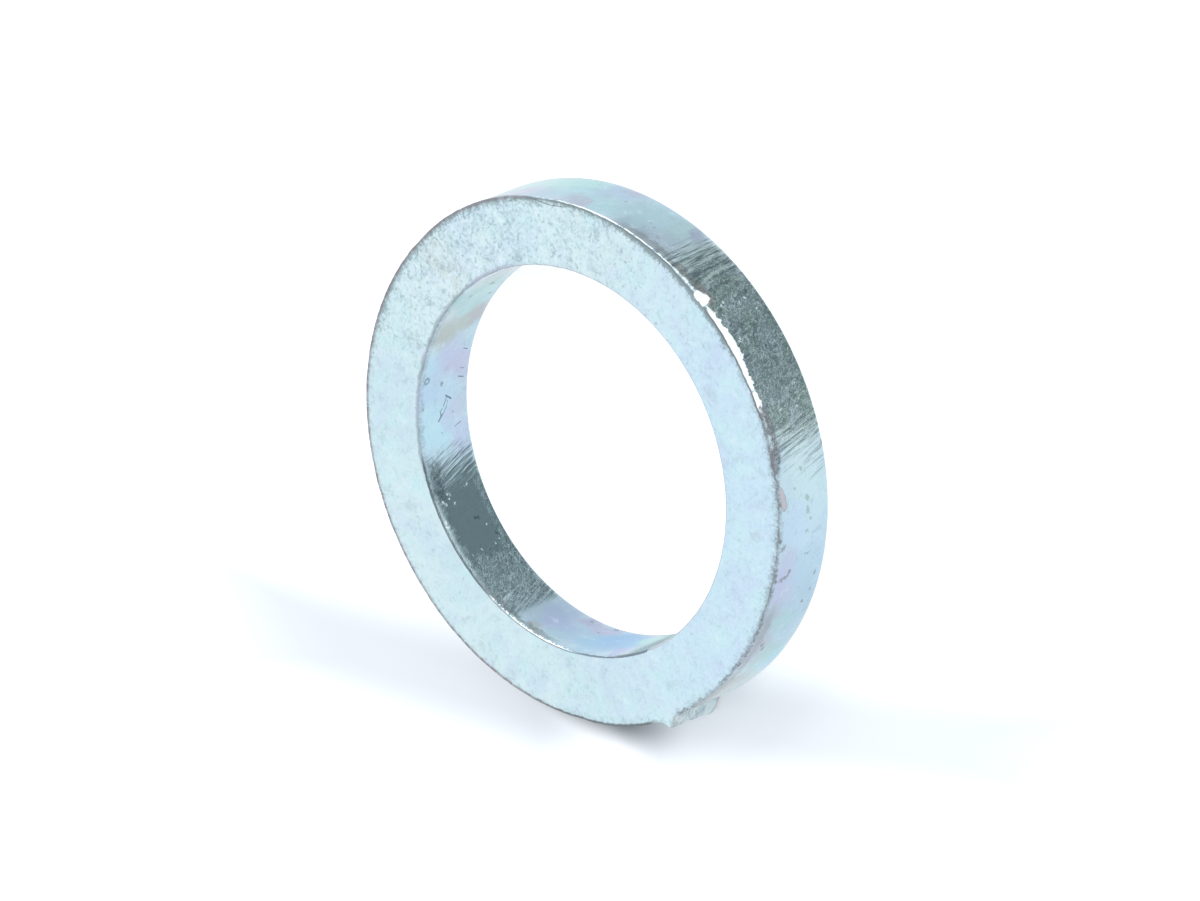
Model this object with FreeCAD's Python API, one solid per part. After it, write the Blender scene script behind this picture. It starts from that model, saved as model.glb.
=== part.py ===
import FreeCAD, Part
import math
import os

# A plain round washer: one thick ring, stamped from plate and zinc plated, in millimetres.
# It lies on its back face at z = 0, with the axis of its bore along +Z.
# One blow shears the rim and the bore, so the rim is drawn in a little at the back face
# and torn at the front face, and the bore is drawn out a little at the front face.
# Angles are in degrees about the axis, from +X towards +Y.

# Ring
outer_diameter = 38.0
bore_diameter = 28.0
thickness = 5.1

# Rolled edges: the wall bends away over this height, by this reach, before its bevel
rim_roll_height = 0.5
rim_roll_reach = 0.05
bore_roll_height = 0.65
bore_roll_reach = 0.07

# Worn front edge of the rim, and small bevels on the other three edges
rim_front_round = 0.2
rim_back_bevel = 0.07
bore_front_bevel = 0.08
bore_back_bevel = 0.08

# Torn band of the rim, which leans in towards the front face
torn_height = 1.4
torn_lean = 0.03

# Leftover tab on the rim, where the blank was held in its strip: a ridge with a steep
# flank towards +X and a hollow slope on the other side
tab_angle = -62.6
tab_back_reach = 0.95       # how far it stands out of the rim at the back face
tab_front_reach = 0.64      # how far it stands out of the rim at the front face
tab_near_foot = 0.8         # from the tab's angle to the foot of the steep flank
tab_front_crest = 0.14      # from the tab's angle to the crest at the front face
tab_back_crest = -0.16      # the same at the back face
tab_front_far_foot = 0.85   # from the tab's angle to the foot of the hollow slope, at the front
tab_back_far_foot = 1.8     # the same at the back
tab_crest_softness = 0.14   # how far from the crest its rounding starts
tab_root_softness = 0.16    # how far from the foot of the steep flank the root starts
tab_back_round = 0.45       # rounding of its back end, seen from the side
tab_front_bevel = 0.06
tab_root_bite = 0.08        # how deep the ends of the roots run into the rim

# Nick knocked into the front edge of the rim
nick_angle = 51.5
nick_radius = 0.6
nick_depth = 0.3            # how far it reaches in from the rim at the front face
nick_height = 0.88          # how far it runs down the rim

outer_radius = outer_diameter / 2
bore_radius = bore_diameter / 2


def arc_about(centre, radius, start_angle, turn, upright):
    """A circle's arc from the start angle through the turn, in the plane of the axis where it is upright."""
    points = []
    for angle in (start_angle, start_angle + turn / 2, start_angle + turn):
        across = radius * math.cos(math.radians(angle))
        along = radius * math.sin(math.radians(angle))
        step = FreeCAD.Vector(across, 0, along) if upright else FreeCAD.Vector(across, along, 0)
        points.append(centre + step)
    return Part.Arc(*points).toShape()


def section_line(start, end):
    """A straight stretch of the ring's section between two (x, z) points."""
    return Part.LineSegment(FreeCAD.Vector(start[0], 0, start[1]), FreeCAD.Vector(end[0], 0, end[1])).toShape()


def roll_size(height, reach):
    """The radius and the turn, in degrees, of an arc that leaves the wall and moves by the reach over the height."""
    radius = (height ** 2 + reach ** 2) / (2 * reach)
    return radius, math.degrees(math.asin(height / radius))


def ring_solid():
    """The ring, with a rim that leans in over the torn band below the front face."""
    front_rim = outer_radius - torn_lean
    back_face_start = (bore_radius + bore_back_bevel, 0)
    back_face_end = (outer_radius - rim_roll_reach - rim_back_bevel, 0)
    rim_roll_end = (outer_radius - rim_roll_reach, rim_back_bevel)
    rim_foot = (outer_radius, rim_roll_height)
    lean_start = (outer_radius, thickness - torn_height)
    lean_end = (front_rim, thickness - rim_front_round)
    front_face_start = (front_rim - rim_front_round, thickness)
    front_face_end = (bore_radius + bore_roll_reach + bore_front_bevel, thickness)
    bore_roll_end = (bore_radius + bore_roll_reach, thickness - bore_front_bevel)
    bore_top = (bore_radius, thickness - bore_roll_height)
    bore_foot = (bore_radius, bore_back_bevel)
    rim_roll, rim_turn = roll_size(rim_roll_height - rim_back_bevel, rim_roll_reach)
    bore_roll, bore_turn = roll_size(bore_roll_height - bore_front_bevel, bore_roll_reach)
    rim_centre = FreeCAD.Vector(outer_radius - rim_roll, 0, rim_roll_height)
    edge_centre = FreeCAD.Vector(front_face_start[0], 0, lean_end[1])
    bore_centre = FreeCAD.Vector(bore_radius + bore_roll, 0, bore_top[1])
    edges = [
        section_line(back_face_start, back_face_end),
        section_line(back_face_end, rim_roll_end),
        arc_about(rim_centre, rim_roll, -rim_turn, rim_turn, True),
        section_line(rim_foot, lean_start),
        section_line(lean_start, lean_end),
        arc_about(edge_centre, rim_front_round, 0, 90, True),
        section_line(front_face_start, front_face_end),
        section_line(front_face_end, bore_roll_end),
        arc_about(bore_centre, bore_roll, 180 - bore_turn, bore_turn, True),
        section_line(bore_top, bore_foot),
        section_line(bore_foot, back_face_start),
    ]
    section = Part.Face(Part.Wire(edges))
    return section.revolve(FreeCAD.Vector(0, 0, 0), FreeCAD.Vector(0, 0, 1), 360)


def soft_corner(corner, before, after):
    """An arc that takes a sharp corner's place between a point before it and a point after it."""
    middle = (before + after) * 0.25 + corner * 0.5
    return Part.Arc(before, middle, after).toShape()


def tab_plan(height, reach, crest, far_foot):
    """The tab's outline at one height, with its foot inside the ring and its length along +X."""
    inside = outer_radius - torn_lean - rim_roll_reach - rim_front_round - 2 * tab_root_bite
    rim_line = outer_radius - torn_lean - rim_roll_reach - tab_root_bite
    near_foot = FreeCAD.Vector(rim_line, tab_near_foot, height)
    top = FreeCAD.Vector(outer_radius + reach, crest, height)
    far_end = FreeCAD.Vector(rim_line, -far_foot, height)
    flank = (top - near_foot).normalize()
    slope = (far_end - top).normalize()
    root_start = near_foot + FreeCAD.Vector(0, tab_root_softness, 0)
    root_end = near_foot + flank * tab_root_softness
    crest_start = top - flank * tab_crest_softness
    crest_end = top + slope * tab_crest_softness
    hollow = (crest_end + far_end) * 0.5 - FreeCAD.Vector(0.16 * reach, 0, 0)
    near_inside = FreeCAD.Vector(inside, root_start.y, height)
    far_inside = FreeCAD.Vector(inside, far_end.y, height)
    edges = [
        Part.LineSegment(near_inside, root_start).toShape(),
        soft_corner(near_foot, root_start, root_end),
        Part.LineSegment(root_end, crest_start).toShape(),
        soft_corner(top, crest_start, crest_end),
        Part.Arc(crest_end, hollow, far_end).toShape(),
        Part.LineSegment(far_end, far_inside).toShape(),
        Part.LineSegment(far_inside, near_inside).toShape(),
    ]
    return Part.Wire(edges)


def tab_sleeve():
    """A round body that trims the tab's crest: rounded at the back end and bevelled at the front end."""
    back_rim = outer_radius + tab_back_reach
    front_rim = outer_radius + tab_front_reach
    inner = 0.5 * bore_radius
    round_centre = FreeCAD.Vector(back_rim - tab_back_round, 0, tab_back_round)
    edges = [
        section_line((inner, 0), (back_rim - tab_back_round, 0)),
        arc_about(round_centre, tab_back_round, -90, 90, True),
        section_line((back_rim, tab_back_round), (front_rim, thickness - tab_front_bevel)),
        section_line((front_rim, thickness - tab_front_bevel), (front_rim - tab_front_bevel, thickness)),
        section_line((front_rim - tab_front_bevel, thickness), (inner, thickness)),
        section_line((inner, thickness), (inner, 0)),
    ]
    section = Part.Face(Part.Wire(edges))
    return section.revolve(FreeCAD.Vector(0, 0, 0), FreeCAD.Vector(0, 0, 1), 360)


def tab_solid():
    """The tab, which grows from its low front end to its high back end."""
    back = tab_plan(0, tab_back_reach, tab_back_crest, tab_back_far_foot)
    front = tab_plan(thickness, tab_front_reach, tab_front_crest, tab_front_far_foot)
    ridge = Part.makeLoft([back, front], True, True)
    tab = ridge.common(tab_sleeve())
    tab.rotate(FreeCAD.Vector(0, 0, 0), FreeCAD.Vector(0, 0, 1), tab_angle)
    return tab


def nick_tool():
    """A slanted round cutter that meets the rim at the foot of the nick and is deepest at the front face."""
    front_rim = outer_radius - torn_lean
    slant = nick_depth / nick_height
    axis = FreeCAD.Vector(-slant, 0, 1)
    foot = FreeCAD.Vector(front_rim + nick_radius + nick_depth, 0, thickness - 2 * nick_height)
    length = 3 * nick_height * axis.Length
    tool = Part.makeCylinder(nick_radius, length, foot, axis)
    tool.rotate(FreeCAD.Vector(0, 0, 0), FreeCAD.Vector(0, 0, 1), nick_angle)
    return tool


def washer():
    """The ring with its tab and its nick, as one solid."""
    whole = ring_solid().fuse(tab_solid()).cut(nick_tool()).removeSplitter()
    return whole.Solids[0]


os.makedirs("parts", exist_ok=True)
washer().exportStep("parts/washer.step")
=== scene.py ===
import math

import bpy
from mathutils import Euler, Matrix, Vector, noise


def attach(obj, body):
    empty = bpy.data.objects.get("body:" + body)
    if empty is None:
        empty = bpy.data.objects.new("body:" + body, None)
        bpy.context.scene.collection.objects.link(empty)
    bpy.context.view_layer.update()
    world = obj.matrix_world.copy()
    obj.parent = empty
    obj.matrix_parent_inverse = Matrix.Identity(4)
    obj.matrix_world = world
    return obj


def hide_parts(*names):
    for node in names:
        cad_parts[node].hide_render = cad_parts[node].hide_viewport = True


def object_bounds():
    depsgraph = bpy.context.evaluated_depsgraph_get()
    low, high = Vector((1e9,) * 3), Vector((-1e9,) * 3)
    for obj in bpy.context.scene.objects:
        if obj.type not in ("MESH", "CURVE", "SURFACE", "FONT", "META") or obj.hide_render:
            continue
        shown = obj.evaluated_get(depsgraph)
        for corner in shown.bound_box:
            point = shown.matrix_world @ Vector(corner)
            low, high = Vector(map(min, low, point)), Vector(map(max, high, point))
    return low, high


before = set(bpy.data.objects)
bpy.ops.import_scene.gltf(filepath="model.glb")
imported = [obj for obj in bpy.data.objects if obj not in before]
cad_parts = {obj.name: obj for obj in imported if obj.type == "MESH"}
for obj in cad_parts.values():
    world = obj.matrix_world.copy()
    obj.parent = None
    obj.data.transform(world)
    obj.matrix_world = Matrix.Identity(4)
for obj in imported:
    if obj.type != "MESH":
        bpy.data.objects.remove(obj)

solid_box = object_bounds()

# The washer: one stamped ring of steel plate with a blue-white zinc plating.
# The press rolled one edge of the rim and of the bore over and tore the other,
# and left a tab on the rim, a nick in its front edge and drawn marks along both walls.

# Lengths are in mm and angles in degrees from +X towards +Y, unless a line says otherwise
MM = 0.001
RIM_RADIUS = round(solid_box[1][0] / MM, 2)
THICKNESS = round(solid_box[1][2] / MM, 2)
BORE_RADIUS = 14.0
RIM_ROLL = (0.5, 0.05)          # height and reach of the bend at the back of the rim
BORE_ROLL = (0.65, 0.07)        # the same at the front of the bore
TORN_HEIGHT = 1.4
TORN_LEAN = 0.03
FRONT_ROUND = 0.07              # the least round of the rim's front edge, and where wear adds to it:
FRONT_WEAR = (                  # two angles, a soft width and what it adds
    (26.0, 49.0, 3.0, 0.15), (12.0, 26.0, 3.0, 0.16), (49.0, 60.0, 3.0, 0.10), (-58.0, 12.0, 4.0, 0.07),
)
BACK_EDGE = 0.07
BORE_EDGE = 0.09

TAB_ANGLE = -62.6
TAB_BACK_REACH = 0.95
TAB_FRONT_REACH = 0.64
TAB_BACK_ROUND = 0.45
TAB_FLANK_FOOT = 0.80           # places across the tab at the front face, from its middle
TAB_CREST = 0.14
TAB_SLOPE_WIDTH = 0.95

NICK_ANGLE = 51.3
NICK_HALF_WIDTH = 0.52
NICK_HEIGHT = 0.85
NICK_DEPTH = 0.28

SEAM_ANGLE = -85.0              # where the skin's two ends meet, on plain metal
COARSE_STEP = 0.37              # degrees between two sections
FINE_STEP = 0.13
FINE_ZONES = ((-68.5, -59.0), (48.0, 55.0))
WALL_STEPS = 24                 # steps of a section up the rim, round its edge, over the face, down the bore
ROUND_STEPS = 9
FACE_STEPS = 22
BORE_STEPS = 18


def smooth(value, low, high):
    """Rises smoothly from 0 to 1 as the value goes from low to high, or falls where low is the larger."""
    share = min(1.0, max(0.0, (value - low) / (high - low)))
    return share * share * (3.0 - 2.0 * share)


def window(value, low, high, soft):
    """1 between low and high, with soft ends."""
    return smooth(value, low - soft, low + soft) * smooth(value, high + soft, high - soft)


def ripple(angle, along, pace, seed):
    """Noise on the ring, about -1 to 1, at an angle and at a place along the section."""
    turn = math.radians(angle)
    reach = RIM_RADIUS * pace
    return noise.noise(Vector((reach * math.cos(turn) + seed, reach * math.sin(turn), along * pace + seed)))


def tab_reach(angle, height):
    """How far the tab stands out of the rim.
    It has a slanted flank on one side of its crest and a long hollow slope on the other."""
    apart = (angle - TAB_ANGLE + 180.0) % 360.0 - 180.0
    across = RIM_RADIUS * math.radians(apart)
    if abs(across) > 3.0:
        return 0.0
    back = 1.0 - height / THICKNESS
    crest = TAB_CREST - 0.30 * back
    foot = crest - TAB_SLOPE_WIDTH - 0.75 * back
    near_side = min(1.0, max(0.0, (TAB_FLANK_FOOT - across) / (TAB_FLANK_FOOT - crest)))
    near_side *= 1.30 - 0.30 * near_side
    far_side = min(1.0, max(0.0, (across - foot) / (crest - foot))) ** (2.3 - 0.9 * back)
    reach = TAB_FRONT_REACH + (TAB_BACK_REACH - TAB_FRONT_REACH) * back
    drop = max(0.0, 1.0 - height / TAB_BACK_ROUND)
    reach -= TAB_BACK_ROUND * (1.0 - math.sqrt(max(0.0, 1.0 - drop * drop)))
    worn = 0.07 * noise.noise(Vector((across * 1.6, height * 0.9, 7.0)))
    worn += 0.05 * noise.noise(Vector((across * 2.4, height * 2.7, 3.0)))
    return min(near_side, far_side) * (reach + worn)


def front_edge_round(angle):
    """The radius of the worn front edge of the rim, wide at the upper right and fine at the left."""
    base = FRONT_ROUND
    for low, high, soft, wear in FRONT_WEAR:
        base += wear * window(angle, low, high, soft)
    rough = 0.30 * ripple(angle, 0.0, 1.1, 3.0) + 0.22 * ripple(angle, 0.0, 3.2, 9.0)
    return base * (1.0 + rough)


def rim_radius(angle, height):
    """The rim's radius, with its roll, its torn band, its swellings and the tab."""
    roll_height, roll_reach = RIM_ROLL
    radius = RIM_RADIUS
    if height < roll_height:
        radius -= roll_reach * (1.0 - height / roll_height) ** 2
    torn = max(0.0, height - (THICKNESS - TORN_HEIGHT)) / TORN_HEIGHT
    radius -= TORN_LEAN * torn
    swell = 0.13 * window(angle, -84.0, -60.0, 5.0) + 0.09 * window(angle, 104.0, 132.0, 6.0)
    swell -= 0.05 * window(angle, -50.0, -6.0, 6.0)
    radius += swell * smooth(height, THICKNESS - 1.5, THICKNESS)
    ragged = 0.022 * ripple(angle, 2.0, 1.6, 21.0) + 0.018 * ripple(angle, 2.0, 4.2, 5.0)
    radius += ragged * smooth(height, THICKNESS - 0.9, THICKNESS)
    radius += 0.012 * ripple(angle, 0.0, 0.12, 31.0)
    return radius + tab_reach(angle, height)


def section(angle):
    """The ring's outline at one angle: (radius, height, skin) points in mm.
    The skin runs 0 to 1 across the back face, 1 to 2 up the rim,
    2 to 3 across the front face and 3 to 4 down the bore."""
    points = []
    bore_foot = BORE_RADIUS + BACK_EDGE * 0.8
    rim_foot = rim_radius(angle, 0.0) - BACK_EDGE
    for share in (0.0, 0.012, 0.2, 0.5, 0.8, 0.97):
        points.append((bore_foot + (rim_foot - bore_foot) * share, 0.0, 0.005 + 0.98 * share))
    for share in (0.0, 0.35, 0.7):
        turn = math.radians(90.0 * share)
        radius = rim_foot + BACK_EDGE * math.sin(turn)
        points.append((radius, BACK_EDGE * (1.0 - math.cos(turn)), 0.988 + 0.02 * share))
    edge = front_edge_round(angle)
    wall_top = THICKNESS - edge
    for step in range(WALL_STEPS + 1):
        share = step / WALL_STEPS
        height = BACK_EDGE + (wall_top - BACK_EDGE) * (share - 0.09 * math.sin(2.0 * math.pi * share))
        skin = 2.0 - (THICKNESS - height - edge * 0.215) / THICKNESS
        points.append((rim_radius(angle, height), height, skin))
    front_radius = rim_radius(angle, wall_top)
    lip = 0.025 * ripple(angle, 4.0, 1.9, 41.0) * window(angle, -90.0, 16.0, 8.0)
    lip += 0.02 * ripple(angle, 4.0, 2.4, 43.0)
    for step in range(1, ROUND_STEPS):
        turn = math.radians(90.0 * step / ROUND_STEPS)
        radius = front_radius - edge + edge * math.cos(turn)
        height = wall_top + (edge + lip) * math.sin(turn)
        points.append((radius, height, 2.0 + (step / ROUND_STEPS - 0.5) * edge * 1.57 / THICKNESS))
    face_start = front_radius - edge
    face_end = BORE_RADIUS + BORE_ROLL[1] + BORE_EDGE
    face_width = face_start - face_end
    for step in range(FACE_STEPS + 1):
        share = step / FACE_STEPS
        share = 0.75 * share + 0.25 * share * share
        radius = face_start - face_width * share
        depth = lip * smooth(share, 0.12, 0.0)
        depth += 0.010 * ripple(angle, radius, 0.35, 51.0) + 0.006 * ripple(angle, radius, 1.2, 57.0)
        depth -= 0.035 * smooth(share, 0.10, 0.0) * (1.0 - smooth(share, 0.02, 0.0))
        skin = 2.0 + (RIM_RADIUS - radius) / (RIM_RADIUS - BORE_RADIUS)
        points.append((radius, THICKNESS + depth, min(2.975, max(2.012, skin))))
    bore_edge = BORE_EDGE * (1.0 + 0.4 * ripple(angle, 0.0, 1.5, 61.0))
    for share in (0.3, 0.65, 1.0):
        turn = math.radians(90.0 * share)
        radius = face_end - bore_edge * math.sin(turn)
        points.append((radius, THICKNESS - bore_edge * (1.0 - math.cos(turn)), 2.975 + 0.035 * share))
    roll_height, roll_reach = BORE_ROLL
    bore_top = THICKNESS - bore_edge
    for step in range(1, BORE_STEPS + 1):
        share = step / BORE_STEPS
        height = bore_top - (bore_top - BACK_EDGE) * share
        bent = max(0.0, height - (THICKNESS - roll_height)) / roll_height
        radius = BORE_RADIUS + roll_reach * bent ** 2 + 0.012 * ripple(angle, 6.0, 0.12, 71.0)
        points.append((radius, height, 3.01 + 0.98 * share))
    points.append((BORE_RADIUS + BACK_EDGE * 0.3, BACK_EDGE * 0.35, 3.995))
    return points


def nicked(angle, radius, height):
    """The same point pushed in where the nick is: a scoop that deepens towards the front face."""
    across = RIM_RADIUS * math.radians(angle - NICK_ANGLE)
    down = THICKNESS - height
    inward = RIM_RADIUS - radius
    if abs(across) > 1.2 or down > 1.4 or inward > 1.2:
        return radius, height
    jag = 0.10 * noise.noise(Vector((across * 3.1, down * 3.3, 2.0)))
    side = smooth(abs(across) + jag, NICK_HALF_WIDTH, NICK_HALF_WIDTH - 0.16)
    depth = NICK_DEPTH * smooth(down + jag, NICK_HEIGHT, 0.15) * side
    depth *= smooth(inward, NICK_DEPTH + 0.45, 0.12)
    return radius - depth, height - 0.35 * depth * smooth(inward, 0.5, 0.0)


def section_angles():
    """Angles all the way round, closer together at the tab and at the nick."""
    angles = []
    angle = SEAM_ANGLE
    while angle < SEAM_ANGLE + 360.0 - 0.5 * COARSE_STEP:
        angles.append(angle)
        fine = any(low < angle < high for low, high in FINE_ZONES)
        angle += FINE_STEP if fine else COARSE_STEP
    return angles


def washer_mesh():
    """The ring as one closed skin, with a skin map for the finish and a packed map for baking."""
    angles = section_angles()
    vertices = []
    skins = []
    for angle in angles:
        turn = math.radians(angle)
        outline = section(angle)
        for radius, height, skin in outline:
            radius, height = nicked(angle, radius, height)
            vertices.append((radius * math.cos(turn) * MM, radius * math.sin(turn) * MM, height * MM))
            skins.append(skin)
    count = len(outline)
    faces = []
    corners = []
    for place in range(len(angles)):
        after = (place + 1) % len(angles)
        here = place * count
        there = after * count
        start = (angles[place] - SEAM_ANGLE) / 360.0
        end = (angles[after] - SEAM_ANGLE) / 360.0 if after else 1.0
        for row in range(count):
            above = (row + 1) % count
            faces.append((here + row, there + row, there + above, here + above))
            low = skins[row]
            high = skins[above] if above else 4.0
            corners.append(((start, low), (end, low), (end, high), (start, high)))
    mesh = bpy.data.meshes.new("washer_skin")
    mesh.from_pydata(vertices, [], faces)
    skin_map = mesh.uv_layers.new(name="Skin")
    bake_map = mesh.uv_layers.new(name="OFBake")
    sectors = 8                 # the bake map holds the ring as 8 strips, 3 in a row
    margin = 0.02
    for face, corner_set in zip(mesh.polygons, corners):
        middle = 0.25 * sum(corner[0] for corner in corner_set)
        sector = min(sectors - 1, int(middle * sectors))
        for loop, (turn_share, skin) in zip(face.loop_indices, corner_set):
            skin_map.data[loop].uv = (turn_share, skin)
            across = min(1.0, max(0.0, turn_share * sectors - sector))
            column, line = sector % 3, sector // 3
            bake_u = (column + margin + (1.0 - 2.0 * margin) * across) / 3.0
            bake_v = (line + margin + (1.0 - 2.0 * margin) * skin / 4.0) / 3.0
            bake_map.data[loop].uv = (bake_u, bake_v)
    mesh.polygons.foreach_set("use_smooth", [True] * len(mesh.polygons))
    mesh.update()
    return mesh


class Signal:
    """A shader node's output, on which Python's arithmetic adds Math nodes to the same material."""

    def __init__(self, tree, socket=None):
        self.tree = tree
        self.socket = socket

    def node(self, kind, settings, sockets, output=0):
        """Adds a node, sets its settings first, and then fills its sockets with numbers or links."""
        made = self.tree.nodes.new("ShaderNode" + kind)
        for name, setting in settings.items():
            setattr(made, name, setting)
        for name, value in sockets.items():
            if isinstance(value, Signal):
                self.tree.links.new(value.socket, made.inputs[name])
            else:
                made.inputs[name].default_value = value
        return Signal(self.tree, made.outputs[output] if made.outputs else None)

    def math(self, operation, *values):
        """Adds a Math node on these values."""
        return self.node("Math", {"operation": operation}, dict(enumerate(values)))

    def vector(self, operation, *values, output=0):
        """Adds a Vector Math node on this vector and these values."""
        sockets = dict(enumerate((self, *values)))
        return self.node("VectorMath", {"operation": operation}, sockets, output)

    def __add__(self, other):
        return self.math("ADD", self, other)

    def __radd__(self, other):
        return self.math("ADD", other, self)

    def __sub__(self, other):
        return self.math("SUBTRACT", self, other)

    def __rsub__(self, other):
        return self.math("SUBTRACT", other, self)

    def __mul__(self, other):
        return self.math("MULTIPLY", self, other)

    def __rmul__(self, other):
        return self.math("MULTIPLY", other, self)

    def __truediv__(self, other):
        return self.math("DIVIDE", self, other)

    def __rtruediv__(self, other):
        return self.math("DIVIDE", other, self)

    def size(self):
        return self.math("ABSOLUTE", self)

    def least(self, other):
        return self.math("MINIMUM", self, other)

    def most(self, other):
        return self.math("MAXIMUM", self, other)

    def rise(self, low, high, top=1.0):
        """Rises smoothly from 0 to the top between low and high, or falls where low is the larger."""
        ends = {1: low, 2: high, 3: 0.0, 4: top} if low < high else {1: high, 2: low, 3: top, 4: 0.0}
        return self.node("MapRange", {"interpolation_type": "SMOOTHSTEP"}, {0: self, **ends})

    def between(self, low, high, soft, top=1.0):
        """The top from low to high, with soft ends."""
        return self.rise(low - soft, low + soft) * self.rise(high + soft, high - soft, top)

    def mixed(self, below, above):
        """A colour that goes from the one below to the one above as this value goes from 0 to 1."""
        return self.node("Mix", {"data_type": "RGBA"}, {0: self, 6: below, 7: above}, 2)

    def stretched(self, across, along, up):
        """This vector with each of its parts multiplied by one factor."""
        return self.vector("MULTIPLY", (across, along, up))

    def onward(self):
        """This place a hair further on, so that a row of marks is worked out one after another.
        Cycles works out at once whatever it can, and holds few values."""
        return self.vector("ADD", (0.00001, 0.0, 0.0))

    def far_from(self, point):
        """How far this place is from a point."""
        return self.vector("DISTANCE", point, output=1)

    def shaken(self, scale, amount):
        """This place moved about by noise, so that what is drawn on it gets an uneven outline."""
        sideways = [self.vector("ADD", (shift, -shift, shift)).grain(scale) for shift in (0.0, 7.3, 15.1)]
        push = self.node("CombineXYZ", {}, dict(zip("XYZ", sideways)))
        centred = push.vector("SUBTRACT", (0.5, 0.5, 0.5))
        return centred.vector("MULTIPLY_ADD", (amount, amount, amount), self)

    def grain(self, scale, detail=2.0, rough=0.5, warp=0.0):
        """Noise on this vector, between about 0.2 and 0.8."""
        sockets = {"Vector": self, "Scale": scale, "Detail": detail, "Roughness": rough, "Distortion": warp}
        return self.node("TexNoise", {}, sockets)


def rgb(red, green, blue):
    """A colour given as it shows on screen, 0 to 255, in the linear form that a shader takes."""
    linear = []
    for part in (red, green, blue):
        share = part / 255.0
        linear.append(share / 12.92 if share <= 0.04045 else ((share + 0.055) / 1.055) ** 2.4)
    return (*linear, 1.0)


def wall_point(radius, angle, height):
    """The place of a mark on a wall, from its angle and its height above the back face."""
    turn = math.radians(angle)
    return Vector((radius * math.cos(turn), radius * math.sin(turn), height))


# Tints of the thin passivation film on the walls, as soft clouds:
# angle, height above the back face, reach, colour and strength.
RIM_TINTS = (
    # Sea green at the top, with lavender above it
    (108.0, 1.6, 2.6, (186, 234, 236), 0.80), (97.0, 1.9, 2.6, (178, 228, 228), 0.85),
    (106.0, 3.9, 1.6, (194, 204, 232), 0.85), (99.0, 3.9, 1.7, (182, 206, 228), 0.75),
    # Grey blue and green down to the streaks
    (91.0, 2.8, 2.2, (174, 218, 230), 0.85), (90.0, 4.6, 1.5, (178, 188, 206), 0.80),
    (86.0, 1.3, 1.9, (178, 204, 226), 0.80), (83.0, 3.4, 1.5, (172, 214, 220), 0.80),
    (84.0, 0.2, 1.1, (190, 194, 214), 0.60), (74.0, 4.3, 1.8, (150, 168, 180), 0.85),
    (75.0, 2.2, 2.2, (172, 206, 216), 0.85), (68.0, 3.2, 1.7, (168, 188, 200), 0.80),
    (67.0, 1.2, 1.7, (172, 202, 206), 0.75), (64.0, 0.8, 1.0, (156, 164, 194), 0.60),
    # Pale on the right
    (12.0, 2.2, 2.6, (208, 234, 240), 0.80), (4.0, 1.6, 2.6, (204, 234, 242), 0.75),
    (-1.0, 3.3, 1.8, (198, 222, 246), 0.75), (-5.0, 1.4, 2.4, (198, 226, 244), 0.70),
    (-9.0, 4.0, 1.4, (196, 208, 232), 0.70),
    # Lavender, blue and green below it
    (-15.0, 4.1, 2.2, (192, 202, 230), 0.85), (-12.0, 1.6, 2.2, (186, 216, 236), 0.80),
    (-21.0, 1.4, 2.4, (178, 208, 228), 0.85), (-25.0, 4.2, 2.2, (176, 192, 206), 0.90),
    (-25.0, 2.7, 1.3, (172, 214, 220), 0.75), (-31.0, 2.0, 2.2, (174, 208, 226), 0.85),
    (-32.0, 4.1, 1.8, (180, 190, 206), 0.85), (-37.0, 2.6, 1.8, (164, 204, 210), 0.85),
    (-40.0, 0.9, 1.6, (156, 212, 230), 0.85), (-43.5, 2.2, 1.2, (164, 216, 234), 0.80),
    (-42.0, 0.1, 1.0, (178, 200, 236), 0.70),
    # Grey before the tab
    (-47.0, 3.8, 2.6, (160, 178, 184), 0.90), (-50.0, 1.2, 2.2, (168, 200, 204), 0.80),
    (-57.0, 2.6, 3.2, (154, 178, 184), 0.90),
)
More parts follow.
